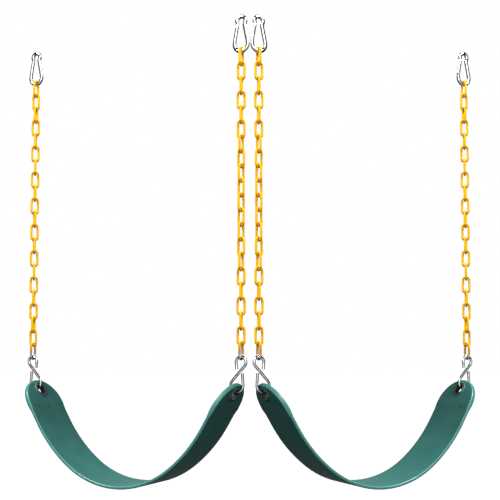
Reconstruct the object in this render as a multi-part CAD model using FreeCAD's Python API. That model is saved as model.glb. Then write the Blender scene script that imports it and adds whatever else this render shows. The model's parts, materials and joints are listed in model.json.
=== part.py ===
# A set of two belt swings: each is a moulded belt seat hung by two S-hooks from two plastic-coated
# chains, and each chain ends at its top in a spring snap hook that clips onto a hanger of the frame.
# Millimetres, +Z up, +X to the right.  The origin is midway between the four hanging eyes.
# Each swing is built in its own frame, where x runs along the line through its two chains, y is the
# direction it swings in and z is up, and is then turned and moved to its place.
import FreeCAD
import Part
import math
import os

V = FreeCAD.Vector

# ------------------------------------------------------------------ driving dimensions
# layout of the pair
swing_yaw = 25.5              # degrees each swing is turned, inner ends to the front
inner_chain_gap = 36.0        # between the axes of the two inner chains

# coated chain
link_pitch = 30.0
link_count = 21               # odd, so that both end links lie across the belt
coated_wire = 5.3             # across the plastic coating
bare_wire = 4.2               # steel inside it
link_side_play = 0.35         # snap hook wire to each leg of the link that hangs on it
chain_play = 0.4              # gap where one link rests in the next
end_turn_links = 3            # at each end, links over which a chain turns out of the swing's line
outer_twist = 24.0            # further degrees the outer chain is wound up at its middle
inner_twist = -45.0
coat_cut_height = 13.0        # bare steel left showing at the foot of the last link

# belt seat
belt_width = 114.0
belt_thick = 6.5
end_thick = 10.0              # over the moulded-in plates
edge_round = 2.2              # radius along the belt's edges
bottom_radius = 205.0         # of the hanging curve, on the middle of the belt
bottom_angle = 36.5           # degrees each side of the lowest point
side_radius = 308.0
side_angle = 22.7
end_length = 100.0            # flat stretch at each end, with a fully round tip
thick_length = 62.0           # from the tip, thick stretch
thick_taper = 14.0
hole_from_tip = 24.0
eyelet_bore = 22.0
eyelet_outer = 26.5
eyelet_flange = 29.0
flange_thick = 1.0
ring_outer = 35.0             # raised ring round the eyelet
ring_height = 1.4
ring_round = 0.8
eyelet_round = 0.7
plate_thick = 2.0             # steel plate moulded into each end
plate_inset = 7.0             # from the tip
plate_length = 69.0
plate_width = 76.0
plate_nose = 34.0             # width of the plate's narrow end
pin_row = 67.0                # from the tip, three moulding-pin holes
pin_spacing = 31.5
pin_hole = 3.2

# S-hook
hook_wire = 6.0
upper_bow = 11.0              # radius on the wire's centre line
lower_bow = 14.0
hook_drop = 70.0              # from the top of the wire's centre line to the eyelet
hook_reach = 16.5             # sideways, from the chain to the eyelet
upper_leg = 13.0
lower_leg = 24.0
rim_play = 2.2                # wire to the eyelet's upper rim, at mid thickness

# spring snap hook
snap_wire = 8.0
snap_length = 80.0
eye_radius = 9.6              # small bow, on the centre line
eye_wrap = 32.0               # degrees the small bow runs below its widest point
neck_radius = 6.0
bow_radius = 15.1             # large bow
hinge_height = 7.0            # gate pin above the large bow's centre
hinge_inset = 0.4             # and in from its widest point
gate_wire = 7.0
tongue_thick = 2.6            # nose tongue and hinge lug, across the hook
slot_play = 0.3
nose_gap = 0.8
pin_wire = 3.0
pin_play = 0.05
spring_bore = 3.8             # hole up the gate for its spring
spring_depth = 14.0
spring_wire = 0.6
spring_turns = 8
spring_play = 0.15            # coil to the bore, and to the bore's two ends

# ------------------------------------------------------------------ derived places, swing frame
hook_centre_drop = snap_length - eye_radius - bow_radius - snap_wire   # eye centre to bow centre
bow_bottom = -hook_centre_drop - bow_radius                            # centre line of the hook's foot
link_centre_width = snap_wire + coated_wire + 2 * link_side_play       # between a link's two legs
link_half = link_pitch / 2 + (coated_wire + chain_play) / 2            # link centre to its end wire's centre
first_link_z = bow_bottom + (snap_wire + coated_wire) / 2 + chain_play - link_half
last_link_z = first_link_z - link_pitch * (link_count - 1)
link_foot = last_link_z - link_half                                    # end wire of the last link
hook_top = link_foot + (bare_wire + hook_wire) / 2 + chain_play        # S-hook wire over that link

end_slope = math.radians(bottom_angle + side_angle)                    # of the belt's flat ends
to_tip = V(math.cos(end_slope), 0, math.sin(end_slope))                # along the belt, to its tip
outwards = V(math.sin(end_slope), 0, -math.cos(end_slope))             # out of the belt's outer face
eyelet_to_wire = eyelet_bore / 2 - hook_wire / 2 - rim_play
wire_to_tip = hole_from_tip - eyelet_to_wire


def belt_curve():
    """Joints of the belt's middle line, lowest point at the origin: two arcs and a flat end."""
    a = math.radians(bottom_angle)
    b = math.radians(bottom_angle + side_angle)
    first = V(bottom_radius * math.sin(a), 0, bottom_radius * (1 - math.cos(a)))
    second = first + V(side_radius * (math.sin(b) - math.sin(a)), 0,
                       side_radius * (math.cos(a) - math.cos(b)))
    return first, second, second + to_tip * end_length


tip_rise = belt_curve()[2].z
tip_reach = belt_curve()[2].x
wire_in_hole = V(-hook_reach, 0, hook_top - hook_drop)                 # from the chain's axis
tip_from_chain = wire_in_hole + to_tip * wire_to_tip
chain_reach = tip_reach - tip_from_chain.x                             # chain axis from the swing's middle
belt_bottom = tip_from_chain.z - tip_rise
swing_offset = inner_chain_gap / 2 + chain_reach * math.cos(math.radians(swing_yaw))


# ------------------------------------------------------------------ small helpers
def faceted_tube(path, wire, closed):
    """Eight-sided wire along a path of straight runs in the xz plane, mitred at each corner."""
    corner = wire / 2 / math.cos(math.pi / 8)
    section = [(corner * math.cos(math.pi / 8 + k * math.pi / 4),
                corner * math.sin(math.pi / 8 + k * math.pi / 4)) for k in range(8)]
    count = len(path)
    runs = [(path[(i + 1) % count] - path[i]).normalize() for i in range(count if closed else count - 1)]
    sides = [V(r.z, 0, -r.x) for r in runs]
    rings = []
    for i, point in enumerate(path):
        before = sides[i - 1] if closed or i > 0 else sides[0]
        after = sides[i] if i < len(sides) else sides[-1]
        mitre = (before + after) * (1 / (1 + before.dot(after)))
        rings.append([point + mitre * a + V(0, b, 0) for a, b in section])
    faces = []
    for i in range(len(runs)):
        here = rings[i]
        there = rings[(i + 1) % count]
        for k in range(8):
            n = (k + 1) % 8
            faces.append(Part.Face(Part.makePolygon([here[k], here[n], there[n], there[k], here[k]])))
    if not closed:
        for ring in (rings[0], rings[-1]):
            faces.append(Part.Face(Part.makePolygon(ring + ring[:1])))
    shell = Part.Shell(faces)
    shell.sewShape()
    solid = Part.Solid(shell)
    if solid.Volume < 0:
        solid.reverse()
    return solid


def link_path(foot=None):
    """Centre line of a link: two straight legs and, at each end, three runs round its bend."""
    reach = link_centre_width / 2
    bend = reach / math.cos(math.pi / 8)
    rise = link_half - reach
    upper = [V(bend * math.cos(a), 0, rise + bend * math.sin(a))
             for a in (math.pi / 8 * n for n in (1, 3, 5, 7))]
    if foot is None:
        return upper + [V(-p.x, 0, -p.z) for p in upper]
    return [V(reach, 0, foot)] + upper + [V(-reach, 0, foot)]


def round_wire(edges, wire):
    """Round wire along joined lines and arcs in the xz plane."""
    path = Part.Wire(edges)
    start = edges[0].Vertexes[0].Point
    along = edges[0].tangentAt(edges[0].FirstParameter)
    circle = Part.Wire(Part.makeCircle(wire / 2, start, along))
    return path.makePipeShell([circle], True, False)


def arc(centre, radius, start, end):
    """Arc in the xz plane from one angle to another, in degrees, through the angle between them."""
    def at(angle):
        a = math.radians(angle)
        return centre + V(radius * math.cos(a), 0, radius * math.sin(a))
    return Part.Arc(at(start), at((start + end) / 2), at(end)).toShape()


def polar(centre, radius, angle):
    """Point at an angle in degrees round a centre, in the xz plane."""
    a = math.radians(angle)
    return centre + V(radius * math.cos(a), 0, radius * math.sin(a))


def crossing_tangent(first, first_radius, second, second_radius):
    """Angles, in degrees, at which a line leaves the first circle's right side and meets the
    second circle's left side, going from the first to the second."""
    gap = second - first
    heading = math.degrees(math.atan2(gap.z, gap.x))
    lean = math.degrees(math.acos((first_radius + second_radius) / gap.Length))
    return heading + lean, heading + lean + 180


def prism(points, depth):
    """Straight-sided plate in the xz plane, depth in y, centred on y = 0."""
    wire = Part.makePolygon([V(x, -depth / 2, z) for x, z in points + points[:1]])
    return Part.Face(wire).extrude(V(0, depth, 0))


# ------------------------------------------------------------------ chain
def chain_links(twist):
    """All links of one chain, top to bottom: every second one is turned a quarter round.  The first
    and last few turn the chain square to the beam, and its middle is wound up by the twist."""
    full = faceted_tube(link_path(), coated_wire, True)
    links = []
    for k in range(link_count):
        quarter = 90.0 if k % 2 == 0 else 0.0
        from_end = min(k, link_count - 1 - k)
        square = swing_yaw * min(from_end / end_turn_links, 1.0)
        share = (k - end_turn_links) / (link_count - 1 - 2 * end_turn_links)
        wound = twist * math.sin(math.pi * min(max(share, 0.0), 1.0))
        link = full.copy()
        link.rotate(V(0, 0, 0), V(0, 0, 1), quarter + square + wound)
        link.translate(V(0, 0, first_link_z - k * link_pitch))
        links.append(link)
    return links


def last_link():
    """Bare steel link, and the coating that covers it down to a clean cut above its foot."""
    bare = faceted_tube(link_path(), bare_wire, True)
    cut = -link_half - bare_wire / 2 + coat_cut_height
    coat = faceted_tube(link_path(cut), coated_wire, False).cut(bare)
    for piece in (bare, coat):
        piece.rotate(V(0, 0, 0), V(0, 0, 1), 90)
        piece.translate(V(0, 0, last_link_z))
    return bare, coat


# ------------------------------------------------------------------ S-hook
def s_hook():
    """Open S-hook on the chain at x = 0: small bow over the last link, large bow through the eyelet."""
    upper = V(0, 0, hook_top - upper_bow)
    lower = wire_in_hole + to_tip * lower_bow
    leave, meet = crossing_tangent(upper, upper_bow, lower, lower_bow)
    upper_end = 187.0
    lower_end = 364.0
    high = polar(upper, upper_bow, upper_end)
    low = polar(lower, lower_bow, lower_end)
    high_tip = high + V(math.sin(math.radians(upper_end)), 0, -math.cos(math.radians(upper_end))) * -upper_leg
    low_tip = low + V(-math.sin(math.radians(lower_end)), 0, math.cos(math.radians(lower_end))) * lower_leg
    return round_wire([
        Part.makeLine(high_tip, high),
        arc(upper, upper_bow, upper_end, leave),
        Part.makeLine(polar(upper, upper_bow, leave), polar(lower, lower_bow, meet)),
        arc(lower, lower_bow, meet, lower_end),
        Part.makeLine(low, low_tip)], hook_wire)


# ------------------------------------------------------------------ snap hook, gate on the -x side
eye_centre = V(0, 0, 0)
bow_centre = V(0, 0, -hook_centre_drop)
hinge = V(-bow_radius + hinge_inset, 0, -hook_centre_drop + hinge_height)
nose = polar(eye_centre, eye_radius, 180 + eye_wrap)
gate_run = nose - hinge
gate_along = V(gate_run).normalize()
gate_inwards = V(gate_along.z, 0, -gate_along.x)
gate_length = gate_run.Length - nose_gap
lug_radius = gate_wire / 2 - 0.2
shoulder = gate_wire / 2 + 0.8             # body's end below the pin


def along_gate(solid):
    """Turn a piece drawn with the gate pin at the origin and the gate up +z onto the gate's line."""
    solid.rotate(V(0, 0, 0), V(0, 1, 0), math.degrees(math.atan2(gate_along.x, gate_along.z)))
    solid.translate(hinge)
    return solid


def snap_body():
    """Bent wire from the nose, over the eye, down the spine and round the large bow to the hinge lug.
    The nose is cut square to the gate and carries a tongue for the gate's fork."""
    neck = polar(eye_centre, eye_radius + neck_radius, -eye_wrap)
    # the neck bends back outwards, and the spine runs from it to the large bow's right side
    gap = bow_centre - neck
    heading = math.degrees(math.atan2(gap.z, gap.x))
    lean = math.degrees(math.acos((neck_radius + bow_radius) / gap.Length))
    leave = heading - lean + 360
    foot = hinge - gate_along * shoulder
    bow_end = 180.0
    joint = polar(bow_centre, bow_radius, bow_end)
    body = round_wire([
        arc(eye_centre, eye_radius, 180 + eye_wrap, -eye_wrap),
        arc(neck, neck_radius, 180 - eye_wrap, leave),
        Part.makeLine(polar(neck, neck_radius, leave), polar(bow_centre, bow_radius, leave - 180)),
        arc(bow_centre, bow_radius, leave - 180, bow_end - 360),
        Part.makeLine(joint, foot)], snap_wire)
    beyond = Part.makeBox(3 * snap_wire, 2 * snap_wire, snap_wire,
                          V(-1.5 * snap_wire, -snap_wire, gate_run.Length - snap_wire))
    body = body.cut(along_gate(beyond))
    lug = Part.makeBox(2 * lug_radius, tongue_thick, shoulder + 2.0,
                       V(-lug_radius, -tongue_thick / 2, -shoulder - 2.0))
    lug = lug.fuse(Part.makeCylinder(lug_radius, tongue_thick, V(0, -tongue_thick / 2, 0), V(0, 1, 0)))
    lug = lug.cut(Part.makeCylinder(pin_wire / 2, 20, V(0, -10, 0), V(0, 1, 0)))
    tongue = Part.makeBox(5.0, tongue_thick, 8.0, V(-2.5, -tongue_thick / 2, gate_length - 4.5))
    return body.fuse([along_gate(lug), along_gate(tongue)]).removeSplitter()


def snap_gate():
    """Round gate, forked over the hinge lug and over the nose tongue, and bored for its spring."""
    r = gate_wire / 2
    rod = Part.makeCylinder(r, gate_length, V(0, 0, 0), V(0, 0, 1))
    knuckle = Part.makeCylinder(r, gate_wire, V(0, -r, 0), V(0, 1, 0))
    round_end = Part.makeCylinder(r, r + 0.01, V(0, 0, -r), V(0, 0, 1)).common(knuckle)
    gate = rod.fuse(round_end).removeSplitter()
    slot = tongue_thick + 2 * slot_play
    gate = gate.cut(Part.makeBox(gate_wire + 2, slot, 2 * r + 0.4, V(-r - 1, -slot / 2, -r - 0.1)))
    gate = gate.cut(Part.makeBox(gate_wire + 2, slot, 6.0, V(-r - 1, -slot / 2, gate_length - 5.5)))
    gate = gate.cut(Part.makeCylinder(pin_wire / 2 + pin_play, 20, V(0, -10, 0), V(0, 1, 0)))
    gate = gate.cut(Part.makeCylinder(spring_bore / 2, spring_depth, V(0, 0, r), V(0, 0, 1)))
    return along_gate(gate)


def gate_spring():
    """Coil spring that fills the gate's bore."""
    radius = (spring_bore - spring_wire) / 2 - spring_play
    height = spring_depth - spring_wire - 2 * spring_play
    coil = Part.Wire(Part.makeHelix(height / spring_turns, height, radius).Edges)
    start = coil.Edges[0]
    section = Part.Wire(Part.makeCircle(spring_wire / 2, start.valueAt(start.FirstParameter),
                                        start.tangentAt(start.FirstParameter)))
    spring = coil.makePipeShell([section], True, True)
    spring.translate(V(0, 0, gate_wire / 2 + spring_wire / 2 + spring_play))
    return along_gate(spring)


def gate_pin():
    """Rivet through the gate's fork and the hinge lug."""
    long = gate_wire
    return along_gate(Part.makeCylinder(pin_wire / 2, long, V(0, -long / 2, 0), V(0, 1, 0)))


# ------------------------------------------------------------------ belt seat
def end_frame(solid):
    """Lay a piece drawn flat (x to the tip, tip at x = 0, z out of the rider's side) onto the +x end."""
    solid.rotate(V(0, 0, 0), V(0, 1, 0), -math.degrees(end_slope))
    solid.translate(V(tip_reach, 0, belt_bottom + tip_rise))
    return solid


def end_outline():
    """Outline of the belt's end as a closed wire: straight sides and a fully round tip."""
    half = belt_width / 2
    back = -end_length
    tip = Part.Arc(V(-half, half, 0), V(0, 0, 0), V(-half, -half, 0)).toShape()
    side = Part.makeLine(V(-half, -half, 0), V(back, -half, 0))
    rear = Part.makeLine(V(back, -half, 0), V(back, half, 0))
    return Part.Wire([tip, side, rear, Part.makeLine(V(back, half, 0), V(-half, half, 0))])


def end_body():
    """Flat end of the belt in its own drawing: thick over the plate, tapering to the belt's thickness."""
    past_tip = 2.0
    side = [(past_tip, end_thick / 2), (-thick_length, end_thick / 2),
            (-thick_length - thick_taper, belt_thick / 2), (-end_length, belt_thick / 2)]
    slab = prism(side + [(x, -z) for x, z in reversed(side)], belt_width + 10)
    blank = Part.Face(end_outline()).extrude(V(0, 0, 2 * end_thick))
    blank.translate(V(0, 0, -end_thick))
    return slab.common(blank)


def plate_blank(thick):
    """Plate moulded into the end: a trapezium, narrow towards the tip."""
    near = -plate_inset
    far = -plate_inset - plate_length
    corners = [V(near, plate_nose / 2, -thick / 2), V(far, plate_width / 2, -thick / 2),
               V(far, -plate_width / 2, -thick / 2), V(near, -plate_nose / 2, -thick / 2)]
    return Part.Face(Part.makePolygon(corners + corners[:1])).extrude(V(0, 0, thick))


def upright(radius, low, high):
    """Round piece through the end at the eyelet."""
    return Part.makeCylinder(radius, high - low, V(-hole_from_tip, 0, low), V(0, 0, 1))


def belt_end():
    """One end of the belt with its raised rings, eyelet hole, plate pocket and moulding-pin holes."""
    top = end_thick / 2
    ring = upright(ring_outer / 2, -top - ring_height, top + ring_height)
    body = end_body().fuse(ring.makeFillet(ring_round, round_edges(ring, ring_outer / 2)))
    body = body.cut(upright(eyelet_outer / 2, -2 * end_thick, 2 * end_thick))
    seat = eyelet_flange / 2
    body = body.cut([upright(seat, top + ring_height - flange_thick, 2 * top),
                     upright(seat, -2 * top, -top - ring_height + flange_thick)])
    body = body.cut(plate_blank(plate_thick))
    pins = [Part.makeCylinder(pin_hole / 2, end_thick, V(-pin_row, y, 0), V(0, 0, 1))
            for y in (-pin_spacing, 0, pin_spacing)]
    return body.cut(pins)


def round_edges(solid, radius):
    """Circular edges of one radius."""
    return [edge for edge in solid.Edges
            if isinstance(edge.Curve, Part.Circle) and abs(edge.Curve.Radius - radius) < 0.01]


def end_plate():
    return plate_blank(plate_thick).cut(upright(eyelet_outer / 2, -end_thick, end_thick))


def eyelet():
    """Flanged bush through the end of the belt."""
    top = end_thick / 2 + ring_height
    bush = upright(eyelet_outer / 2, -top + flange_thick, top - flange_thick)
    bush = bush.fuse([upright(eyelet_flange / 2, top - flange_thick, top),
                      upright(eyelet_flange / 2, -top, -top + flange_thick)])
    bush = bush.cut(upright(eyelet_bore / 2, -2 * end_thick, 2 * end_thick)).removeSplitter()
    return bush.makeFillet(eyelet_round, round_edges(bush, eyelet_bore / 2))


def runs_round_the_rim(edge):
    """Whether an edge of the belt runs along a long side or round a tip, on either face."""
    half = belt_width / 2
    if isinstance(edge.Curve, Part.Circle) and abs(edge.Curve.Radius - half) < 0.01:
        return True
    middle = (edge.FirstParameter + edge.LastParameter) / 2
    place = edge.valueAt(middle)
    at_side = all(abs(abs(edge.valueAt(p).y) - half) < 0.01 for p in edge.ParameterRange)
    through = V(math.copysign(outwards.x, place.x), 0, outwards.z)
    return at_side and abs(edge.tangentAt(middle).dot(through)) < 0.7


def belt():
    """Whole belt: the curved middle of constant thickness and both ends, with its edges rounded."""
    first, second, _ = belt_curve()
    half = belt_thick / 2
    a = bottom_angle
    b = bottom_angle + side_angle
    low = V(0, 0, bottom_radius)
    turn = V(-math.sin(math.radians(a)), 0, math.cos(math.radians(a)))
    far = first + turn * side_radius

    def strip(offset):
        right = arc(far, side_radius + offset, -90 + a, -90 + b)
        bottom = arc(low, bottom_radius + offset, -90 + a, -90 - a)
        left = right.mirror(V(0, 0, 0), V(1, 0, 0))
        return [right, bottom, left]
    outer = strip(half)
    inner = strip(-half)
    ends = []
    normal = V(outwards)
    for s in (1, -1):
        p = V(s * second.x, 0, second.z)
        n = V(s * normal.x, 0, normal.z)
        ends.append(Part.makeLine(p + n * half, p - n * half))
    edges = Part.__sortEdges__(outer + inner + ends)
    middle = Part.Face(Part.Wire(edges)).extrude(V(0, belt_width, 0))
    middle.translate(V(0, -belt_width / 2, belt_bottom))
    right = end_frame(belt_end())
    left = right.mirror(V(0, 0, 0), V(1, 0, 0))
    whole = middle.fuse([right, left]).removeSplitter()
    return whole.makeFillet(edge_round, [edge for edge in whole.Edges if runs_round_the_rim(edge)])


def both_ends(solid):
    """A piece of the +x end and its twin on the other end."""
    return [solid, solid.mirror(V(0, 0, 0), V(1, 0, 0))]


# ------------------------------------------------------------------ one swing
def swing_pieces(gate_side):
    """Every node of one swing, in the swing's frame: name, and its list of solids."""
    inner_at = V(chain_reach, 0, 0)
    outer_at = V(-chain_reach, 0, 0)

    def at(place, solid, mirrored=False):
        piece = solid.copy()
        if mirrored:
            piece = piece.mirror(V(0, 0, 0), V(1, 0, 0))
        piece.translate(place)
        return piece

    outer_links = chain_links(outer_twist)
    inner_links = chain_links(inner_twist)
    bare, coat = last_link()
    hook = s_hook()
    body, gate, pin, spring = snap_body(), snap_gate(), gate_pin(), gate_spring()
    flip = gate_side > 0
    nodes = {
        "snap_hook_frames": [at(outer_at, body, flip), at(inner_at, body, flip)],
        "gate_rivets": [at(outer_at, pin, flip), at(inner_at, pin, flip)],
        "outer_snap_gate": [at(outer_at, gate, flip)],
        "inner_snap_gate": [at(inner_at, gate, flip)],
        "outer_gate_spring": [at(outer_at, spring, flip)],
        "inner_gate_spring": [at(inner_at, spring, flip)],
        "top_links": [at(outer_at, outer_links[0]), at(inner_at, inner_links[0])],
        "outer_chain": [at(outer_at, link) for link in outer_links[1:-1]],
        "inner_chain": [at(inner_at, link) for link in inner_links[1:-1]],
        "bottom_links": [at(outer_at, bare), at(inner_at, bare)],
        "bottom_link_coatings": [at(outer_at, coat), at(inner_at, coat)],
        "outer_s_hook": [at(outer_at, hook, True)],
        "inner_s_hook": [at(inner_at, hook)],
        "belt_seat": [belt()],
        "seat_eyelets": both_ends(end_frame(eyelet())),
        "seat_end_plates": both_ends(end_frame(end_plate())),
    }
    return nodes


def place(solid, side):
    """Turn and move a piece of the left swing to its place, and mirror it for the right swing."""
    piece = solid.copy()
    piece.rotate(V(0, 0, 0), V(0, 0, 1), -swing_yaw)
    piece.translate(V(-swing_offset, 0, 0))
    if side == "right":
        piece = piece.mirror(V(0, 0, 0), V(1, 0, 0))
    return piece


os.makedirs("parts", exist_ok=True)
for side, gate_side in (("left", -1), ("right", 1)):
    for name, solids in swing_pieces(gate_side).items():
        placed = [place(solid, side) for solid in solids]
        shape = placed[0] if len(placed) == 1 else Part.makeCompound(placed)
        shape.exportStep("parts/%s_%s.step" % (side, name))
        print(side, name, len(placed), "solids", "valid" if shape.isValid() else "NOT VALID",
              round(sum(piece.Volume for piece in placed)))
print("chain reach", round(chain_reach, 2), "swing offset", round(swing_offset, 2),
      "belt bottom", round(belt_bottom, 2), "S-hook top", round(hook_top, 2))
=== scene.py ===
# %% [markdown]
# # A pair of belt swings
# Two soft belt seats hang by S-hooks from plastic-coated chains, and every chain ends at its top in a
# spring snap hook for the hanger of a swing frame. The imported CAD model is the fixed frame: it says
# where each piece is and what moves with what. This lesson builds the looks around it, piece by piece.

# %% Load the frame
import json
import math

import bmesh
import bpy
from mathutils import Matrix, Vector


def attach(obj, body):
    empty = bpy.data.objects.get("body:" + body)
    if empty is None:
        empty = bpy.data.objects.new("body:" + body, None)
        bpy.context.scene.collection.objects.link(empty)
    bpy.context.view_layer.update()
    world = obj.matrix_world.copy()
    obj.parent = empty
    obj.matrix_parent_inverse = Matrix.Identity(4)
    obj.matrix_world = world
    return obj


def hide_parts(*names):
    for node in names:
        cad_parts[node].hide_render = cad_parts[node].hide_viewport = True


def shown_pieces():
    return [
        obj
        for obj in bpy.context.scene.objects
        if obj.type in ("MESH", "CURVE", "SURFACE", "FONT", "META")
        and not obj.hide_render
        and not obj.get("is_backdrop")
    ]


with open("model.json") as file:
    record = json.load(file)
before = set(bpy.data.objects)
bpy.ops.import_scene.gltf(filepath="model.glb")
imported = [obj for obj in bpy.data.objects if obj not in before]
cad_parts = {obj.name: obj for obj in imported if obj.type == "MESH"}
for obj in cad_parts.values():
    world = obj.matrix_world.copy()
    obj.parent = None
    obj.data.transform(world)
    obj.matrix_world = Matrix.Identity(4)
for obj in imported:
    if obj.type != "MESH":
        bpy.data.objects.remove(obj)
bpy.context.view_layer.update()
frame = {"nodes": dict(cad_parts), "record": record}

# %% [markdown]
# ## Where everything hangs
# The places of the hinges tell almost everything: a chain's hinge stands on the chain's own axis, and a
# swing's hinge line runs through its two chains. The places could be typed in again, but read from the
# frame they always agree with it. Each piece is modelled in the swing's own frame, x from the outer
# chain to the inner one, y the way it swings and z up, and is then turned and moved to its place.

# %% The swing's own frame
mm = 0.001
joints = {joint["name"]: joint for joint in frame["record"]["behaviour"]["joints"]}


def hinge_place(name):
    """Where a joint of the frame has its axis."""
    return Vector(joints[name]["pos_m"])


outer_axis = hinge_place("left_outer_chain_sway")
inner_axis = hinge_place("left_inner_chain_sway")
across = inner_axis - outer_axis
reach = across.length / 2                       # from the swing's middle to a chain
middle = (outer_axis + inner_axis) / 2
yaw = math.atan2(-across.y, across.x)
left_place = Matrix.Translation((middle.x, middle.y, 0)) @ Matrix.Rotation(-yaw, 4, "Z")
mirrored = Matrix.Diagonal((-1, 1, 1, 1))
swing_places = {"left": left_place, "right": mirrored @ left_place}

snap_foot_z = hinge_place("left_swing").z       # wire centre at the foot of the snap hook
s_hook_z = hinge_place("left_s_hook_tilt").z    # wire centre at the top of the S-hook
eyelet_z = hinge_place("left_seat_tilt").z      # wire centre where it runs through the eyelet
print("reach", round(reach, 4), "yaw", round(math.degrees(yaw), 1), "snap foot", round(snap_foot_z, 4))

# %% [markdown]
# ## Working by hand in code
# An operator acts on whatever is selected, so each model starts with everything deselected, in an empty
# mesh at the origin that is opened in edit mode. A model could be left with the seams of its making, but
# then light would show them, so they are merged before it is shaded smooth.

# %% Starting and finishing a model
def ready(*objects):
    """Back to object mode with only these selected; the last one is active."""
    if bpy.context.object and bpy.context.object.mode != "OBJECT":
        bpy.ops.object.mode_set(mode="OBJECT")
    bpy.ops.object.select_all(action="DESELECT")
    for thing in objects:
        thing.select_set(True)
        bpy.context.view_layer.objects.active = thing


def new_model(name):
    """An empty mesh at the origin, open in edit mode."""
    ready()
    model = bpy.data.objects.new(name, bpy.data.meshes.new(name))
    bpy.context.collection.objects.link(model)
    ready(model)
    bpy.ops.object.mode_set(mode="EDIT")
    bpy.ops.mesh.select_mode(type="VERT")
    return model


def close_up(model, smooth=35):
    """Closes the seams and holes, turns the faces outwards and shades the model smooth."""
    bpy.ops.mesh.select_all(action="SELECT")
    bpy.ops.mesh.remove_doubles(threshold=0.01 * mm)
    bpy.ops.mesh.fill_holes(sides=0)
    bpy.ops.mesh.normals_make_consistent(inside=False)
    ready(model)
    bpy.ops.object.shade_smooth_by_angle(angle=math.radians(smooth))
    return model


print("ready for a first model")

# %% [markdown]
# ## Shader maths
# A finish is a small sum: some noise, a mask, a mix. Nodes can be added one by one, but a long list of
# them is hard to read, so one class wraps a socket and lets an expression add the nodes.

# %% A socket that can be reckoned with
class Socket:
    """A shader socket that adds Math nodes when it is used in an expression."""

    def __init__(self, tree, link):
        self.tree = tree
        self.link = link

    def node(self, kind, settings=(), **inputs):
        """Any node: its settings first, then the values or links of its sockets."""
        made = self.tree.nodes.new(kind)
        for key, value in dict(settings).items():
            setattr(made, key, value)
        for key, value in inputs.items():
            index = int(key[1:]) if key[1:].isdigit() else key.replace("_", " ")
            socket = made.inputs[index]
            if isinstance(value, Socket):
                self.tree.links.new(value.link, socket)
            else:
                socket.default_value = value
        return made

    def maths(self, operation, first, second=0.0):
        """One Math node."""
        made = self.node("ShaderNodeMath", {"operation": operation}, i0=first, i1=second)
        return Socket(self.tree, made.outputs[0])

    def __add__(self, other):
        return self.maths("ADD", self, other)

    def __sub__(self, other):
        return self.maths("SUBTRACT", self, other)

    def __mul__(self, other):
        return self.maths("MULTIPLY", self, other)

    def __rsub__(self, other):
        return self.maths("SUBTRACT", other, self)

    __radd__ = __add__
    __rmul__ = __mul__

    def ramp(self, low, high, start=0.0, end=1.0):
        """A straight or reversed ramp from start to end, held outside low to high."""
        made = self.node("ShaderNodeMapRange", Value=self, From_Min=low, From_Max=high,
                         To_Min=start, To_Max=end)
        return Socket(self.tree, made.outputs[0])

    def colour(self, dark, light):
        """A colour between two, by this factor."""
        made = self.node("ShaderNodeMix", {"data_type": "RGBA"}, i0=self)
        for index, value in ((6, dark), (7, light)):
            if isinstance(value, Socket):
                self.tree.links.new(value.link, made.inputs[index])
            else:
                made.inputs[index].default_value = (*value, 1.0)
        return Socket(self.tree, made.outputs[2])


print("shader maths ready")

# %% [markdown]
# Every finish starts from the Principled shader and from the object's own coordinates. They are in
# metres, so the same noise is as fine on a link as on the belt: at a scale of 400 its clouds are 2.5 mm
# wide. A bump only shades what is too small to be worth modelling.

# %% Starting a finish
def finish(name, **constants):
    """A new material: its shader, with constants set on its own sockets, and its object coordinates."""
    material = bpy.data.materials.new(name)
    material.use_nodes = True
    tree = material.node_tree
    shader = tree.nodes["Principled BSDF"]
    for key, value in constants.items():
        shader.inputs[key.replace("_", " ")].default_value = value
    place = tree.nodes.new("ShaderNodeTexCoord")
    return material, shader, Socket(tree, place.outputs["Object"])


def noise(place, scale, detail=3.0):
    """Soft clouds between 0 and 1."""
    made = place.node("ShaderNodeTexNoise", Vector=place, Scale=scale, Detail=detail, Roughness=0.5)
    return Socket(place.tree, made.outputs[0])


def feed(shader, **inputs):
    """Links sockets to a shader's inputs."""
    for key, value in inputs.items():
        value.tree.links.new(value.link, shader.inputs[key.replace("_", " ")])


def bump(height, depth, strength=1.0):
    """Shading as if the height, 0 to 1, stood out by the depth."""
    made = height.node("ShaderNodeBump", Strength=strength, Distance=depth, Height=height)
    return Socket(height.tree, made.outputs[0])


print("finishes can be mixed")

# %% [markdown]
# ## Finishes
# The chain is dipped in soft yellow plastic: even in colour and slightly glossy. Where one link presses
# into the next it is painted darker and redder: painted shade, for the shadow and the light bounced
# between the two links. The contacts lie one pitch apart down the chain, so a wave along z finds them
# all. The last link is painted brown by a ramp along z: painted shade, as that link looks in shadow.

# %% The chain's coating
link_pitch = 30 * mm
link_count = 21
coated_wire = 5.3 * mm
chain_play = 0.4 * mm
snap_wire = 8 * mm
link_half = link_pitch / 2 + (coated_wire + chain_play) / 2
first_link_z = snap_foot_z + (snap_wire + coated_wire) / 2 + chain_play - link_half
last_link_z = first_link_z - link_pitch * (link_count - 1)


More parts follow.
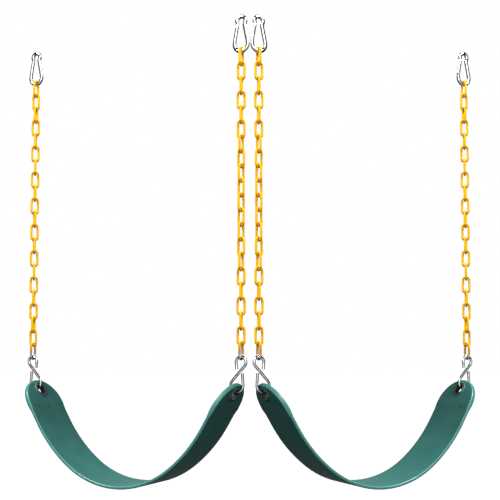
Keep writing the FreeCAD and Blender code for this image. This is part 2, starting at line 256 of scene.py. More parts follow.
def yellow_coating():
    """Soft yellow plastic with painted shade: darker at the contacts and brown on the last link."""
    material, shader, place = finish("yellow coating", IOR=1.5, Specular_IOR_Level=0.06)
    height = place.node("ShaderNodeSeparateXYZ", Vector=place)
    z = Socket(place.tree, height.outputs[2])
    turns = (z - (first_link_z - link_pitch / 2)) * (1 / link_pitch)
    wave = turns.maths("COSINE", turns * (2 * math.pi))
    # painted shade: a mask where one link touches the next
    contact_shade_mask = wave.ramp(0.75, 1.0)
    cloud = noise(place, 90.0)
    base = cloud.colour((0.62, 0.325, 0.001), (0.74, 0.40, 0.001))
    # painted shade: darker and redder at the contacts
    contact_shaded = (contact_shade_mask * cloud.ramp(0.35, 0.65, 0.1, 0.7)).colour(base, (0.55, 0.18, 0.002))
    # painted shade: the last link made brown, as it looks in shadow
    last = z.ramp(last_link_z, last_link_z + link_pitch * 0.6, 0.8, 0.0)
    feed(shader, Base_Color=last.colour(contact_shaded, (0.30, 0.13, 0.04)),
         Roughness=cloud.ramp(0.3, 0.7, 0.46, 0.58), Normal=bump(noise(place, 400.0), 0.05 * mm))
    return material


coating = yellow_coating()
print("first link", round(first_link_z, 4), "last link", round(last_link_z, 4))

# %% [markdown]
# The S-hooks, the bare last links and the snap hooks are plated steel. Plating mirrors its
# surroundings, so most of its look comes from the light. A faint cloud in roughness and tone keeps it
# from looking like glass.

# %% Plated steel
def plated_steel(name, dark, light, rough):
    """A mirror between two tones, a little cloudy."""
    material, shader, place = finish(name, Metallic=1.0)
    cloud = noise(place, 220.0, 4.0)
    fine = noise(place, 1500.0, 2.0)
    feed(shader, Base_Color=cloud.ramp(0.35, 0.65).colour(dark, light),
         Roughness=cloud.ramp(0.3, 0.7, rough, rough + 0.10), Normal=bump(fine, 0.01 * mm, 0.1))
    return material


zinc = plated_steel("zinc plating", (0.42, 0.42, 0.43), (0.84, 0.85, 0.86), 0.02)
nickel = plated_steel("nickel plating", (0.58, 0.57, 0.56), (0.86, 0.85, 0.84), 0.02)
print("plating ready")

# %% [markdown]
# The belt is moulded in one piece of soft blue-green plastic. Its broad faces are satin. The two
# roundings of its edge are smoother, and painted a lighter green: a painted highlight, as the rounded
# edge catches the light. They are marked on the mesh by a number for each vertex, called rim, because the
# belt bends and no straight line follows it.

# %% The belt's and the eyelets' plastic
def belt_plastic():
    """Satin blue-green plastic with a painted highlight: a lighter rim."""
    material, shader, place = finish("green belt plastic", IOR=1.45)
    mark = place.node("ShaderNodeAttribute", {"attribute_name": "rim"})
    rim = Socket(place.tree, mark.outputs["Fac"])
    cloud = noise(place, 30.0, 4.0)
    base = cloud.ramp(0.3, 0.7).colour((0.040, 0.165, 0.150), (0.047, 0.192, 0.172))
    # painted highlight: the rim is made a lighter green
    feed(shader, Base_Color=rim.colour(base, (0.085, 0.30, 0.26)),
         Roughness=cloud.ramp(0.3, 0.7, 0.42, 0.52) - rim * 0.2,
         Normal=bump(noise(place, 900.0, 2.0), 0.05 * mm))
    return material


def black_plastic():
    """Hard black plastic, slightly dusty."""
    material, shader, place = finish("black eyelet plastic", IOR=1.5)
    cloud = noise(place, 300.0)
    feed(shader, Base_Color=cloud.colour((0.006, 0.005, 0.005), (0.030, 0.020, 0.018)),
         Roughness=cloud.ramp(0.3, 0.7, 0.28, 0.42))
    return material


green = belt_plastic()
black = black_plastic()
print("plastics ready")

# %% [markdown]
# ## Bent wire
# Links, S-hooks and snap hooks are all bent from round wire, as a bending machine does it: run straight,
# bend round a pin, run straight again. A curve with a round bevel would give the same tube, but here the
# wire starts as one ring of points, and each extrude or spin carries that ring on, so its facets stay
# even through every bend.

# %% A wire that runs and bends
def direction(degrees):
    """The way an angle points in the xz plane."""
    angle = math.radians(degrees)
    return Vector((math.cos(angle), 0, math.sin(angle)))


class Wire:
    """Round wire laid in the xz plane. Positive bends turn left, seen from the front."""

    def __init__(self, name, radius, start, heading, sides=16):
        self.model = new_model(name)
        self.radius = radius
        self.at = Vector(start)
        self.heading = heading
        bpy.ops.mesh.primitive_circle_add(vertices=sides, radius=radius, location=self.at,
                                          rotation=(0, math.radians(90 - heading), 0))

    def run(self, length, scale=1.0):
        """Straight on, with the new ring scaled."""
        step = direction(self.heading) * length
        self.at += step
        bpy.ops.mesh.extrude_region_move(TRANSFORM_OT_translate={"value": step})
        if scale != 1.0:
            bpy.ops.transform.resize(value=(scale,) * 3, center_override=self.at)

    def bend(self, radius, degrees):
        """Round a pin, the radius measured to the wire's centre."""
        side = self.heading + math.copysign(90, degrees)
        centre = self.at + direction(side) * radius
        bpy.ops.mesh.spin(steps=max(3, round(abs(degrees) / 12)), angle=math.radians(degrees),
                          center=centre, axis=(0, 1, 0))
        self.at = centre + direction(side + 180 + degrees) * radius
        self.heading += degrees


print("wire bender ready")

# %% [markdown]
# ## Chain links
# A link is a racetrack: two legs and two half-round bends. It could be a stretched torus, but bending it
# from wire keeps the legs truly straight. The seam, where the wire's last ring meets its first, is
# merged, as the real one is welded.

# %% One link
bare_wire = 4.2 * mm
link_leg = 7 * mm                               # from the link's middle to the centre of a leg


def closed_link(name, wire):
    """An upright link bent from wire of this thickness, its middle at the origin."""
    link = Wire(name, wire / 2, (link_leg, 0, 0), 90, sides=14)
    rise = link_half - link_leg
    link.run(rise)
    link.bend(link_leg, 180)
    link.run(2 * rise)
    link.bend(link_leg, 180)
    link.run(rise)
    return close_up(link.model, 60)


coated_link = closed_link("coated link", coated_wire)
bare_link = closed_link("bare link", bare_wire)
print("coated link", len(coated_link.data.polygons), "faces")

# %% [markdown]
# The last link is dipped only part of the way: its coating is a hairpin of tube that stops in a clean
# cut. The cut edge is turned in to the steel, so the coating shows its thickness.

# %% The cut coating of the last link
bare_foot = 13 * mm                             # from the link's foot up to the cut
coating_cut = -link_half - bare_wire / 2 + bare_foot
lip = 0.3 * mm                                  # length of the turned-in edge
lip_radius = 0.9                                # as a share of the coating's


def cut_coating():
    """The hairpin of coating on the last link, open at the foot."""
    tube = Wire("cut coating", lip_radius * coated_wire / 2, (link_leg, 0, coating_cut), 90, sides=14)
    leg = link_half - link_leg - coating_cut - lip
    tube.run(lip, 1 / lip_radius)
    tube.run(leg)
    tube.bend(link_leg, 180)
    tube.run(leg)
    tube.run(lip, lip_radius)
    return close_up(tube.model, 40)


link_coat = cut_coating()
print("coating", len(link_coat.data.polygons), "faces")

# %% [markdown]
# ## The S-hook
# An open S-hook has a small bow over the last link and a larger one through the belt's eyelet. Between
# them the wire crosses over, so the straight part is the tangent from one bow to the other, and both
# free ends run on past their bows.

# %% One S-hook
hook_wire = 6 * mm
upper_bow = 11 * mm
lower_bow = 14 * mm
hook_reach = 16.5 * mm                          # sideways, from the chain to the eyelet
upper_leg = 13 * mm
lower_leg = 24 * mm
belt_slope = 59.2                               # degrees, of the belt's flat ends
upper_start = 187                               # degrees round the upper bow, where its free leg joins
lower_end = 364
chamfer = 0.86                                  # radius of a cut end's face, as a share of the wire's
eased = 0.06 * hook_wire                        # taken off each leg by its chamfer


def cut_end(wire, opening):
    """The small chamfer at either end of a cut wire."""
    wire.run(0.12 * wire.radius, 1 / chamfer if opening else chamfer)


def s_hook():
    """The S-hook of a swing's inner end, at the height where it hangs."""
    upper = Vector((0, 0, s_hook_z - upper_bow))
    lower = Vector((-hook_reach, 0, eyelet_z)) + direction(belt_slope) * lower_bow
    gap = lower - upper
    fall = math.degrees(math.atan2(gap.z, gap.x))
    leave = fall + math.degrees(math.acos((upper_bow + lower_bow) / gap.length))
    crossing = math.sqrt(gap.length ** 2 - (upper_bow + lower_bow) ** 2)
    free_end = upper + direction(upper_start) * upper_bow - direction(upper_start - 90) * upper_leg
    hook = Wire("S-hook", chamfer * hook_wire / 2, free_end, upper_start - 90, sides=20)
    cut_end(hook, True)
    hook.run(upper_leg - eased)
    hook.bend(upper_bow, leave - upper_start)
    hook.run(crossing)
    hook.bend(lower_bow, lower_end - leave - 180)
    hook.run(lower_leg - eased)
    cut_end(hook, False)
    print("S-hook crosses over for", round(crossing / mm, 1), "mm")
    return close_up(hook.model, 50)


s_hook_model = s_hook()

# %% [markdown]
# ## The snap hook
# A snap hook is known by its length, its eye at the top and the wide bow at the foot. The gate reaches
# from the hinge, beside the bow, to the nose, so its length and lean follow from those two places.

# %% The snap hook's sizes
snap_length = 80 * mm
eye_radius = 9.6 * mm
eye_wrap = 32                                   # degrees the eye runs on below its widest point
neck_radius = 6 * mm
snap_bow = 15.1 * mm
hinge_height = 7 * mm
hinge_inset = 0.4 * mm
nose_gap = 0.8 * mm
bow_z = -(snap_length - eye_radius - snap_bow - snap_wire)
hinge = Vector((hinge_inset - snap_bow, 0, bow_z + hinge_height))
nose = direction(180 + eye_wrap) * eye_radius
gate_lean = math.atan2((nose - hinge).x, (nose - hinge).z)
gate_place = Matrix.Translation(hinge) @ Matrix.Rotation(gate_lean, 4, "Y")
gate_length = (nose - hinge).length - nose_gap
print("gate", round(gate_length / mm, 1), "mm, leans", round(math.degrees(gate_lean), 1), "degrees")

# %% [markdown]
# What is pressed or sawn on a hook is made with simple shapes: a block with eased edges for what is
# flat, and a rod for what is round. They are worked out from two points, so they can't end up askew.

# %% Blocks and rods
def block(name, low, high, bevel=0.0):
    """A box between two corners, with its edges eased."""
    model = new_model(name)
    low, high = Vector(low), Vector(high)
    bpy.ops.mesh.primitive_cube_add(size=1, location=(low + high) / 2, scale=high - low)
    if bevel:
        bpy.ops.mesh.bevel(offset=bevel, segments=3, affect="EDGES")
    return close_up(model)


def rod(name, radius, start, end, sides=32, bevel=0.0):
    """A round bar between two points, with its end edges eased."""
    model = new_model(name)
    start, end = Vector(start), Vector(end)
    along = end - start
    turn = along.to_track_quat("Z", "Y").to_euler()
    bpy.ops.mesh.primitive_cylinder_add(vertices=sides, radius=radius, depth=along.length,
                                        location=(start + end) / 2, rotation=turn)
    if bevel:
        bpy.ops.mesh.select_mode(type="FACE")
        bpy.ops.mesh.select_all(action="DESELECT")
        mesh = bmesh.from_edit_mesh(model.data)
        for face in mesh.faces:
            face.select = len(face.verts) == sides
        bmesh.update_edit_mesh(model.data)
        bpy.ops.mesh.bevel(offset=bevel, segments=4, affect="EDGES")
        bpy.ops.mesh.select_mode(type="VERT")
    return close_up(model)


def placed(model, place):
    """The same model, moved in its own mesh."""
    model.data.transform(place)
    return model


print("blocks and rods ready")

# %% [markdown]
# The blocks and rods are added to the wire, or cut out of it, with booleans, as a weld or a saw would. A
# boolean leaves slivers along its cuts. They could stay, since they can't be seen, but a mesh without
# them can be measured, printed and cut again.

# %% Cutting and cleaning up
def shape_with(model, tool, operation):
    """Cuts a tool out of a model, or adds it, and throws the tool away."""
    ready(model)
    boolean = model.modifiers.new("tool", "BOOLEAN")
    boolean.operation = operation
    boolean.solver = "EXACT"
    boolean.object = tool
    bpy.ops.object.modifier_apply(modifier=boolean.name)
    bpy.data.objects.remove(tool)


def clean_up(model, smooth):
    """Dissolves the slivers that cutting leaves and shades the model smooth."""
    ready(model)
    bpy.ops.object.mode_set(mode="EDIT")
    bpy.ops.mesh.select_all(action="SELECT")
    bpy.ops.mesh.dissolve_degenerate(threshold=0.002 * mm)
    bpy.ops.mesh.delete_loose()
    ready(model)
    bpy.ops.object.shade_smooth_by_angle(angle=math.radians(smooth))
    return model


print("saw ready")

# %% [markdown]
# The body is one more bent wire: from the nose over the small eye, in at the neck, down the spine and
# round the large bow to the hinge. Its two ends are pressed flat, into a tongue that the gate's fork
# closes over and a lug that carries the rivet. They could be squeezed out of the wire's own rings, but
# flattened blocks, added to the wire, keep their edges crisp.

# %% The snap hook's body
gate_wire = 7 * mm
tongue_thick = 2.6 * mm
tongue_width = 5 * mm
tongue_reach = 4.5 * mm                         # into the gate's slot
tongue_root = 3.5 * mm                          # up into the nose
lug_root = 2 * mm                               # down into the bow's end


def snap_body():
    """The bent wire of the snap hook, with its tongue and its lug."""
    neck = direction(-eye_wrap) * (eye_radius + neck_radius)
    gap = Vector((0, 0, bow_z)) - neck
    fall = math.degrees(math.atan2(gap.z, gap.x)) + 360
    leave = fall - math.degrees(math.acos((neck_radius + snap_bow) / gap.length))
    spine = math.sqrt(gap.length ** 2 - (neck_radius + snap_bow) ** 2)
    shoulder = gate_wire / 2 + 0.8 * mm
    body = Wire("snap hook body", snap_wire / 2, nose, 90 + eye_wrap, sides=24)
    body.bend(eye_radius, -180 - 2 * eye_wrap)
    body.bend(neck_radius, leave - 180 + eye_wrap)
    body.run(spine)
    body.bend(snap_bow, -leave)
    body.run(hinge_height - shoulder)
    body = close_up(body.model, 50)
    past = gate_length + nose_gap
    trim = block("trim", (-12 * mm, -8 * mm, past - 8 * mm), (12 * mm, 8 * mm, past))
    shape_with(body, placed(trim, gate_place), "DIFFERENCE")
    half = tongue_thick / 2
    tongue = block("tongue", (-tongue_width / 2, -half, gate_length - tongue_reach),
                   (tongue_width / 2, half, gate_length + tongue_root), 0.4 * mm)
    shape_with(body, placed(tongue, gate_place), "UNION")
    lug_radius = gate_wire / 2 - 0.2 * mm
    lug = block("lug", (-lug_radius, -half, -shoulder - lug_root), (lug_radius, half, 0))
    shape_with(lug, rod("lug end", lug_radius, (0, -half, 0), (0, half, 0)), "UNION")
    shape_with(body, placed(lug, gate_place), "UNION")
    return clean_up(body, 50)


snap_body_model = snap_body()
print("snap hook body", len(snap_body_model.data.polygons), "faces")

# %% [markdown]
# The gate is a rod, slotted at both ends: the lower slot straddles the lug, and the upper one swallows
# the tongue when the gate shuts. Slots are cut with a boolean, as a saw would. The rivet is a short pin.

# %% Gate and rivet
slot_play = 0.3 * mm
slot_depth = tongue_reach + 1 * mm
rivet_wire = 3 * mm


def snap_gate():
    """The slotted gate, shut."""
    radius = gate_wire / 2
    gate = rod("gate", radius, (0, 0, -radius), (0, 0, gate_length), bevel=0.3 * mm)
    slot = tongue_thick / 2 + slot_play
    lower = block("saw", (-radius * 2, -slot, -radius * 2), (radius * 2, slot, radius + slot_play))
    shape_with(gate, lower, "DIFFERENCE")
    upper = block("saw", (-radius * 2, -slot, gate_length - slot_depth),
                  (radius * 2, slot, gate_length + radius))
    shape_with(gate, upper, "DIFFERENCE")
    knuckle = rod("knuckle", radius, (0, -radius * 2, 0), (0, radius * 2, 0), sides=48)
    above = block("above", (-radius, -radius * 2, 0), (radius, radius * 2, gate_length * 1.5))
    shape_with(knuckle, above, "UNION")
    shape_with(gate, knuckle, "INTERSECT")
    return placed(clean_up(gate, 40), gate_place)


gate_model = snap_gate()
rivet = rod("rivet", rivet_wire / 2, (0, -gate_wire / 2, 0), (0, gate_wire / 2, 0), 24, 0.2 * mm)
rivet_model = placed(rivet, gate_place)
print("gate", len(gate_model.data.polygons), "faces, rivet", len(rivet_model.data.polygons))

# %% [markdown]
# ## The belt
# The belt is a strip with a rounded edge, bent by its own weight into two tight and two easy arcs, with
# flat, thicker, half-round ends. A flat strip could be bent by a modifier, but the arcs are known, so its
# cross-section is drawn once and spun along them. The same section, spun about the middle of the
# half-round end, makes the end with the same rounded edge all the way.

# %% The belt's cross-section
belt_width = 114 * mm
belt_thick = 6.5 * mm
edge_round = 2.2 * mm


def split_edges(model, test, cuts):
    """Divides the edges whose middle passes the test."""
    bpy.ops.mesh.select_mode(type="EDGE")
    bpy.ops.mesh.select_all(action="DESELECT")
    mesh = bmesh.from_edit_mesh(model.data)
    for edge in mesh.edges:
        edge.select = test((edge.verts[0].co + edge.verts[1].co) / 2)
    bmesh.update_edit_mesh(model.data)
    bpy.ops.mesh.subdivide(number_cuts=cuts)
    bpy.ops.mesh.select_mode(type="VERT")


def start_strip(name, x):
    """A model that holds only the belt's section, as a ring of edges across x, ready to extrude."""
    model = new_model(name)
    place = Vector((x, 0, 0))
    bpy.ops.mesh.primitive_plane_add(size=1, location=place, rotation=(0, math.radians(90), 0))
    bpy.ops.transform.resize(value=(1, belt_width, belt_thick), center_override=place)
    bpy.ops.mesh.bevel(offset=edge_round, segments=6, affect="VERTICES", profile=0.5)
    bpy.ops.mesh.select_all(action="SELECT")
    bpy.ops.mesh.delete(type="ONLY_FACE")
    split_edges(model, lambda c: abs(c.y) < 1 * mm, 11)
    bpy.ops.mesh.select_all(action="SELECT")
    return model


print("section", round(belt_width / mm), "by", round(belt_thick / mm, 1), "mm")

# %% [markdown]
# The middle is drawn from the lowest point outwards, and the end as it lies flat on a bench, tip at
# x = 0, before it is tilted and joined on. Half a belt is enough: a mirror makes the other half.

# %% Half a belt
end_thick = 10 * mm
bottom_radius = 205 * mm
bottom_angle = 36.5
side_radius = 308 * mm
side_angle = belt_slope - bottom_angle
end_length = 100 * mm
thick_length = 62 * mm
thick_taper = 14 * mm


def pick(model, test):
    """Selects, in edit mode, the vertices whose place passes the test, and what lies between them."""
    bpy.ops.mesh.select_all(action="DESELECT")
    mesh = bmesh.from_edit_mesh(model.data)
    for vertex in mesh.verts:
        vertex.select = test(vertex.co)
    mesh.select_flush(True)
    bmesh.update_edit_mesh(model.data)


def join(models):
    """Several models made one."""
    ready(*models)
    bpy.ops.object.join()
    return bpy.context.object


def belt_half():
    """Half a belt, with the place of its end and its tip."""
    middle_strip = start_strip("belt middle", 0)
    bpy.ops.mesh.spin(steps=14, angle=math.radians(bottom_angle), center=(0, 0, bottom_radius),
                      axis=(0, 1, 0))
    first = direction(bottom_angle - 90) * bottom_radius + Vector((0, 0, bottom_radius))
    centre = first - direction(bottom_angle - 90) * side_radius
    bpy.ops.mesh.spin(steps=10, angle=math.radians(side_angle), center=centre, axis=(0, 1, 0))
    join_point = centre + direction(belt_slope - 90) * side_radius
    ready(middle_strip)

    end = start_strip("belt end", -end_length)
    round_centre = -belt_width / 2
    at = -end_length
    for x, thicker in ((-thick_length - thick_taper, 1.0), (-thick_length, end_thick / belt_thick),
                       (round_centre, 1.0)):
        bpy.ops.mesh.extrude_region_move(TRANSFORM_OT_translate={"value": (x - at, 0, 0)})
        bpy.ops.transform.resize(value=(1, 1, thicker), center_override=(x, 0, 0))
        at = x
    pick(end, lambda c: c.x > round_centre - 0.01 * mm and c.y > -0.01 * mm)
    bpy.ops.mesh.spin(steps=24, angle=math.pi, center=(round_centre, 0, 0), axis=(0, 0, 1))
    ready(end)
    tip = join_point + direction(belt_slope) * end_length
    end_place = Matrix.Translation(tip) @ Matrix.Rotation(-math.radians(belt_slope), 4, "Y")
    placed(end, end_place)
    return join([middle_strip, end]), end_place, tip


half_belt, end_place, tip = belt_half()
print("half a belt", len(half_belt.data.polygons), "faces, tip at", [round(v / mm, 1) for v in tip])

# %% [markdown]
# Each end has a raised ring on both faces, with the eyelet let into it. Both are turned, as on a lathe: a
# circle is carried along its axis and scaled, step by step. A profile could be spun about the axis
# instead, but scaling needs no upright seam.

# %% The lathe, the ring and the eyelet
hole_from_tip = 24 * mm
eyelet_bore = 22 * mm
eyelet_outer = 26.5 * mm
eyelet_flange = 29 * mm
flange_thick = 1.0 * mm
ring_outer = 35 * mm
ring_height = 1.4 * mm


def turned(name, x, profile):
    """A piece turned about an upright axis at x: the profile lists radius and height, and closes."""
    model = new_model(name)
    radius, height = profile[0]
    bpy.ops.mesh.primitive_circle_add(vertices=48, radius=radius, location=(x, 0, height))
    for wider, higher in profile[1:] + profile[:1]:
        bpy.ops.mesh.extrude_region_move(TRANSFORM_OT_translate={"value": (0, 0, higher - height)})
        share = wider / radius
        bpy.ops.transform.resize(value=(share, share, 1), center_override=(x, 0, higher))
        radius, height = wider, higher
    return close_up(model, 30)


def both_faces(upper):
    """A profile and its reflection in the belt's middle plane."""
    return upper + [(radius, -height) for radius, height in reversed(upper)]


face = end_thick / 2
ring_top = face + ring_height
raised_ring = turned("raised ring", -hole_from_tip, both_faces([
    (ring_outer / 2, 2 * mm), (ring_outer / 2, face + 0.3 * mm),
    (ring_outer / 2 - 0.5 * mm, ring_top - 0.3 * mm), (ring_outer / 2 - 1.2 * mm, ring_top),
    (eyelet_flange / 2 + 0.7 * mm, ring_top),
    (eyelet_flange / 2 + 0.2 * mm, ring_top - 0.4 * mm), (eyelet_flange / 2 - 1 * mm, 2 * mm)]))
eyelet = turned("eyelet", -hole_from_tip, both_faces([
    (eyelet_outer / 2, ring_top - flange_thick), (eyelet_flange / 2, ring_top - flange_thick),
    (eyelet_flange / 2, ring_top - 0.3 * mm), (eyelet_flange / 2 - 0.5 * mm, ring_top),
    (eyelet_bore / 2 + 0.9 * mm, ring_top), (eyelet_bore / 2 + 0.25 * mm, ring_top - 0.25 * mm),
    (eyelet_bore / 2, ring_top - 0.9 * mm)]))
print("ring", len(raised_ring.data.polygons), "eyelet", len(eyelet.data.polygons), "faces")

# %% [markdown]
# The whole belt: the half is mirrored, closed, given its rings and drilled. The three small holes in each
# end are where pins held the steel plate in the mould. Each tool is a copy, turned and moved with the
# belt's end, and the other end's tools are reflected.

# %% The whole belt
pin_row = 67 * mm                               # from the belt's tip
pin_spacing = 31.5 * mm
pin_hole = 3.2 * mm


def moved(model, place):
    """A copy of a model, with its own mesh, at another place."""
    mesh = model.data.copy()
    mesh.transform(place)
    if place.determinant() < 0:
        mesh.flip_normals()
    copy = bpy.data.objects.new(model.name, mesh)
    bpy.context.collection.objects.link(copy)
    return copy


def whole_belt(half):
    """Both halves, with rings and holes."""
    ready(half)
    mirror = half.modifiers.new("other half", "MIRROR")
    mirror.use_axis = (True, False, False)
    mirror.merge_threshold = 0.02 * mm
    bpy.ops.object.modifier_apply(modifier=mirror.name)
    bpy.ops.object.mode_set(mode="EDIT")
    belt = close_up(half, 32)
    hole = rod("hole", eyelet_flange / 2 + 0.05 * mm, (-hole_from_tip, 0, -end_thick),
               (-hole_from_tip, 0, end_thick), 48)
    tools = [(hole, "DIFFERENCE"), (raised_ring, "UNION")]
    for y in (-pin_spacing, 0, pin_spacing):
        pin = rod("pin", pin_hole / 2, (-pin_row, y, 1 * mm), (-pin_row, y, end_thick), 16)
        tools.append((pin, "DIFFERENCE"))
    for side in (Matrix.Identity(4), mirrored):
        for tool, operation in tools:
            shape_with(belt, moved(tool, side @ end_place), operation)
    for tool, _ in tools:
        bpy.data.objects.remove(tool)
    return belt


belt = whole_belt(half_belt)
belt.name = "belt"
print("belt", len(belt.data.polygons), "faces")

# %% [markdown]
# The number rim is set on each vertex that lies on a rounding of the edge. The drilling has renumbered
# the mesh, so each vertex is measured as if its end lay flat on the bench again.

# %% Marking the rim
def mark_rim(belt):
    """Sets rim to 1 on the two roundings of the edge and 0 elsewhere."""
    mark = belt.data.attributes.new("rim", "FLOAT", "POINT")
    inside = belt_width / 2 - edge_round * 0.9
    outside = belt_width / 2 - edge_round * 0.05
    straight = end_place.inverted()
    for vertex in belt.data.vertices:
        place = vertex.co.copy()
        place.x = abs(place.x)
        lying = straight @ place
        if lying.x > -belt_width / 2:
            spread = math.hypot(lying.x + belt_width / 2, lying.y)
        else:
            spread = abs(place.y)
        mark.data[vertex.index].value = 1.0 if inside < spread < outside else 0.0


mark_rim(clean_up(belt, 32))
print("rim marked on", sum(mark.value for mark in belt.data.attributes["rim"].data), "vertices")

# %% [markdown]
# ## Hanging it all up
# Every model now goes to its places. An object could be moved there, but each copy has its own mesh, so
# its place is in the mesh, the object stays at the origin, and the body that it rides on can carry it.

# %% Putting a piece in its place
def hang(model, name, place, body, material, node):
    """A copy of the model at its place, riding on a body, in the place of a CAD node."""
    piece = moved(model, place)
    piece.name = name
    piece.data.materials.clear()
    piece.data.materials.append(material)
    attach(piece, body)
    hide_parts(node)


print("pieces can be hung")

# %% [markdown]
# A chain's links take turns of a quarter, and the middle of the chain is wound a little, as a hanging
# chain's is. The links of one chain swing together, so they are joined into one piece.

# %% The chains
end_turn_links = 3                              # over which a chain turns square to its end link


def chain(twist):
    """The links of one chain between its end links, wound up by a twist in degrees, as one model."""
    links = []
    for k in range(1, link_count - 1):
        from_end = min(k, link_count - 1 - k)
        square = math.degrees(yaw) * min(from_end / end_turn_links, 1)
        share = (k - end_turn_links) / (link_count - 1 - 2 * end_turn_links)
        wound = twist * math.sin(math.pi * min(max(share, 0), 1))
        turn = (90 if k % 2 == 0 else 0) + square + wound
        height = Matrix.Translation((0, 0, first_link_z - k * link_pitch))
        links.append(moved(coated_link, height @ Matrix.Rotation(math.radians(turn), 4, "Z")))
    return join(links)


chains = {"outer": chain(24), "inner": chain(-45)}
print("chain", len(chains["outer"].data.polygons), "faces")

# %% [markdown]
# The S-hook's wire runs through the eyelet at a known height, and rests a little inside the bore's rim.
# That says how far the belt hangs below.

# %% Where the belt hangs
wire_inside_rim = 2.2 * mm
eyelet_to_wire = eyelet_bore / 2 - hook_wire / 2 - wire_inside_rim
wire_to_tip = hole_from_tip - eyelet_to_wire
tip_at = Vector((reach - hook_reach, 0, eyelet_z)) + direction(belt_slope) * wire_to_tip
belt_place = Matrix.Translation((0, 0, tip_at.z - tip.z))
print("belt tip is off by", round((tip_at.x - tip.x) / mm, 3), "mm")

# %% [markdown]
# Each swing gets its own copies, on the bodies that carry the CAD pieces. The S-hook and the eyelet are
# modelled for the inner end and reflected for the outer one. The steel plates and springs hidden inside
# have no looks of their own: the CAD pieces only get their plating.

# %% Both swings
quarter = Matrix.Rotation(math.pi / 2, 4, "Z")

for side, swing in swing_places.items():
    own = side + "_"
    for where, x, facing in (("outer", -reach, mirrored), ("inner", reach, Matrix.Identity(4))):
        end = own + where
        at_chain = swing @ Matrix.Translation((x, 0, 0))
        # the gates of both swings are on the same hand, so the right swing's are turned back
        gate_way = at_chain @ (mirrored if side == "right" else Matrix.Identity(4))
        hang(snap_body_model, end + "_snap_hook", gate_way, "hanger_hooks", nickel,
             own + "snap_hook_frames")
        hang(rivet_model, end + "_gate_rivet", gate_way, "hanger_hooks", nickel,
             own + "gate_rivets")
        hang(gate_model, end + "_snap_gate", gate_way, end + "_gate", nickel,
             end + "_snap_gate")
        first = at_chain @ Matrix.Translation((0, 0, first_link_z)) @ quarter
        last = at_chain @ Matrix.Translation((0, 0, last_link_z)) @ quarter
        hang(coated_link, end + "_top_link", first, own + "top_links", coating,
             own + "top_links")
        hang(chains[where], end + "_chain", at_chain, end + "_chain", coating,
             end + "_chain")
        hang(bare_link, end + "_last_link", last, own + "bottom_links", zinc,
             own + "bottom_links")
        hang(link_coat, end + "_last_link_coating", last, own + "bottom_links", coating,
             own + "bottom_link_coatings")
        hang(s_hook_model, end + "_S-hook", at_chain @ facing, own + "s_hooks", zinc,
             end + "_s_hook")
        hang(eyelet, end + "_eyelet", swing @ belt_place @ facing @ end_place, own + "seat", black,
             own + "seat_eyelets")
    hang(belt, own + "belt", swing @ belt_place, own + "seat", green,
         own + "belt_seat")
    for node in ("seat_end_plates", "outer_gate_spring", "inner_gate_spring"):
        inner_piece = frame["nodes"][own + node]
        inner_piece.data.materials.clear()
        inner_piece.data.materials.append(zinc)

for model in (snap_body_model, rivet_model, gate_model, coated_link, bare_link, link_coat, s_hook_model,
              eyelet, belt, *chains.values()):
    bpy.data.objects.remove(model)

# %% [markdown]
# ## Floor, light and camera
# Plating shows what stands round it, and soft plastic shows where the light comes from, so the studio is
# bright in front and dark at the sides in mirrors, and its soft light is stronger from above. Each swing
# has its key lamp, high up on its own side. A flag keeps that lamp off the other swing's belt, so the
# belts' undersides stay dark, while the chains are lit from both sides. Two soft lamps, in front and
# behind, fill in. The floor is pale and far below. It is left out of what the pieces mirror and receive,
# because light thrown up from it would flatten the undersides of the belts.

# %% The floor
floor_z = -1.36


def lay_floor():
    """A pale floor that only the camera sees."""
    ready()
    bpy.ops.mesh.primitive_plane_add(size=60, location=(0, 0, floor_z))
    floor = bpy.context.object
    floor.name = "floor"
    floor.visible_diffuse = False
    floor.visible_glossy = False
    material = finish("floor", Roughness=0.9, Base_Color=(0.90, 0.90, 0.90, 1), Specular_IOR_Level=0.0,
                      Emission_Color=(1, 1, 1, 1), Emission_Strength=0.85)[0]
    floor.data.materials.append(material)
    floor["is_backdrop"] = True


lay_floor()
print("floor laid")

# %% [markdown]
# The studio's walls are the world itself. What a mirror shows, what gives soft light and what is seen
# behind the swings are three different things here, as they are where cards stand out of view.

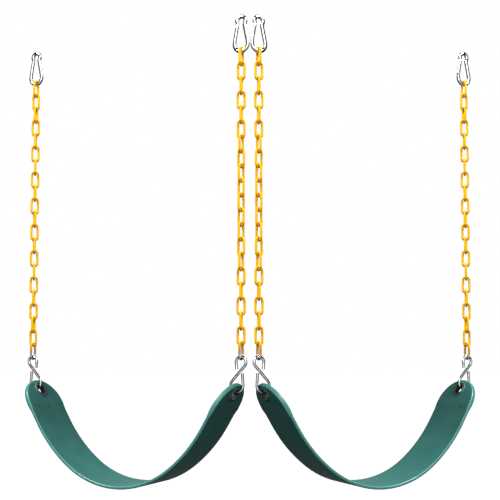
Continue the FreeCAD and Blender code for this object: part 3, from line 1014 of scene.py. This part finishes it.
# %% The walls
def sky():
    """White where it is seen, with soft light from above, and bright in front in mirrors."""
    world = bpy.data.worlds.new("studio")
    world.use_nodes = True
    tree = world.node_tree
    behind = tree.nodes["Background"]
    behind.inputs["Color"].default_value = (1, 1, 1, 1)
    rays = tree.nodes.new("ShaderNodeLightPath")
    seen = rays.outputs["Is Camera Ray"]
    mirrors = Socket(tree, rays.outputs["Is Glossy Ray"])
    way = Socket(tree, tree.nodes.new("ShaderNodeTexCoord").outputs["Generated"])
    parts = way.node("ShaderNodeSeparateXYZ", Vector=way)
    ahead = Socket(tree, parts.outputs[1])
    height = Socket(tree, parts.outputs[2])
    light = height.ramp(-0.3, 0.7, 0.20, 0.36)
    mirror = ahead.ramp(-0.85, -0.50, 1.3, 0.01) + ahead.ramp(0.80, 0.98, 0.0, 0.45)
    around = tree.nodes.new("ShaderNodeBackground")
    tree.links.new((light + mirrors * (mirror - light)).link, around.inputs["Strength"])
    mix = tree.nodes.new("ShaderNodeMixShader")
    tree.links.new(seen, mix.inputs[0])
    tree.links.new(around.outputs[0], mix.inputs[1])
    tree.links.new(behind.outputs[0], mix.inputs[2])
    tree.links.new(mix.outputs[0], tree.nodes["World Output"].inputs["Surface"])
    bpy.context.scene.world = world


sky()
print("walls lit")

# %% [markdown]
# The lamps are squares of soft light. The back one is kept off the belts, whose satin it would wash out,
# and out of the mirrors.

# %% The lamps
lamp_size = 1.6


def lamp(name, place, target, power):
    """A square soft lamp that looks at the target and isn't seen itself."""
    light = bpy.data.lights.new(name, "AREA")
    light.size = lamp_size
    light.energy = power
    holder = bpy.data.objects.new(name, light)
    holder.location = place
    holder.rotation_euler = (Vector(target) - Vector(place)).to_track_quat("-Z", "Y").to_euler()
    holder.visible_camera = False
    bpy.context.collection.objects.link(holder)
    return holder


def keep_off(light, *belts):
    """Lights everything but these belts, as flags stood between them and the lamp would."""
    lit = bpy.data.collections.new("lit by " + light.name)
    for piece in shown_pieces():
        if piece.name not in belts:
            lit.objects.link(piece)
    light.light_linking.receiver_collection = lit


lamp("front", (0, -2.4, 0.2), (0, 0, -0.5), 20)
back = lamp("back", (0, 2.4, 0.8), (0, 0, -0.4), 100)
back.visible_glossy = False
keep_off(back, "left_belt", "right_belt")
for side, other, away in (("left", "right", -1), ("right", "left", 1)):
    key = lamp(side + " key", (away * 2.25, -1.4, 2.3), (away * 0.25, 0, -0.85), 250)
    keep_off(key, other + "_belt")

# %% [markdown]
# The camera stands as high as the S-hooks and looks up a little. The rest of the rise to the chain tops
# comes from the lens shift, which keeps the chains upright in the picture.

# %% The camera
view_distance = 1.908
view_height = s_hook_z + 3 * mm
look_up = 2.9                                   # degrees
camera_data = bpy.data.cameras.new("camera")
camera_data.sensor_width = 36
camera_data.lens = 64.3
camera_data.shift_y = 0.12
camera = bpy.data.objects.new("camera", camera_data)
camera.location = (0, -view_distance, view_height)
camera.rotation_euler = (math.radians(90 + look_up), 0, 0)
bpy.context.collection.objects.link(camera)
bpy.context.scene.camera = camera
bpy.context.scene.view_settings.view_transform = "Standard"
print("camera at", [round(v, 3) for v in camera.location])
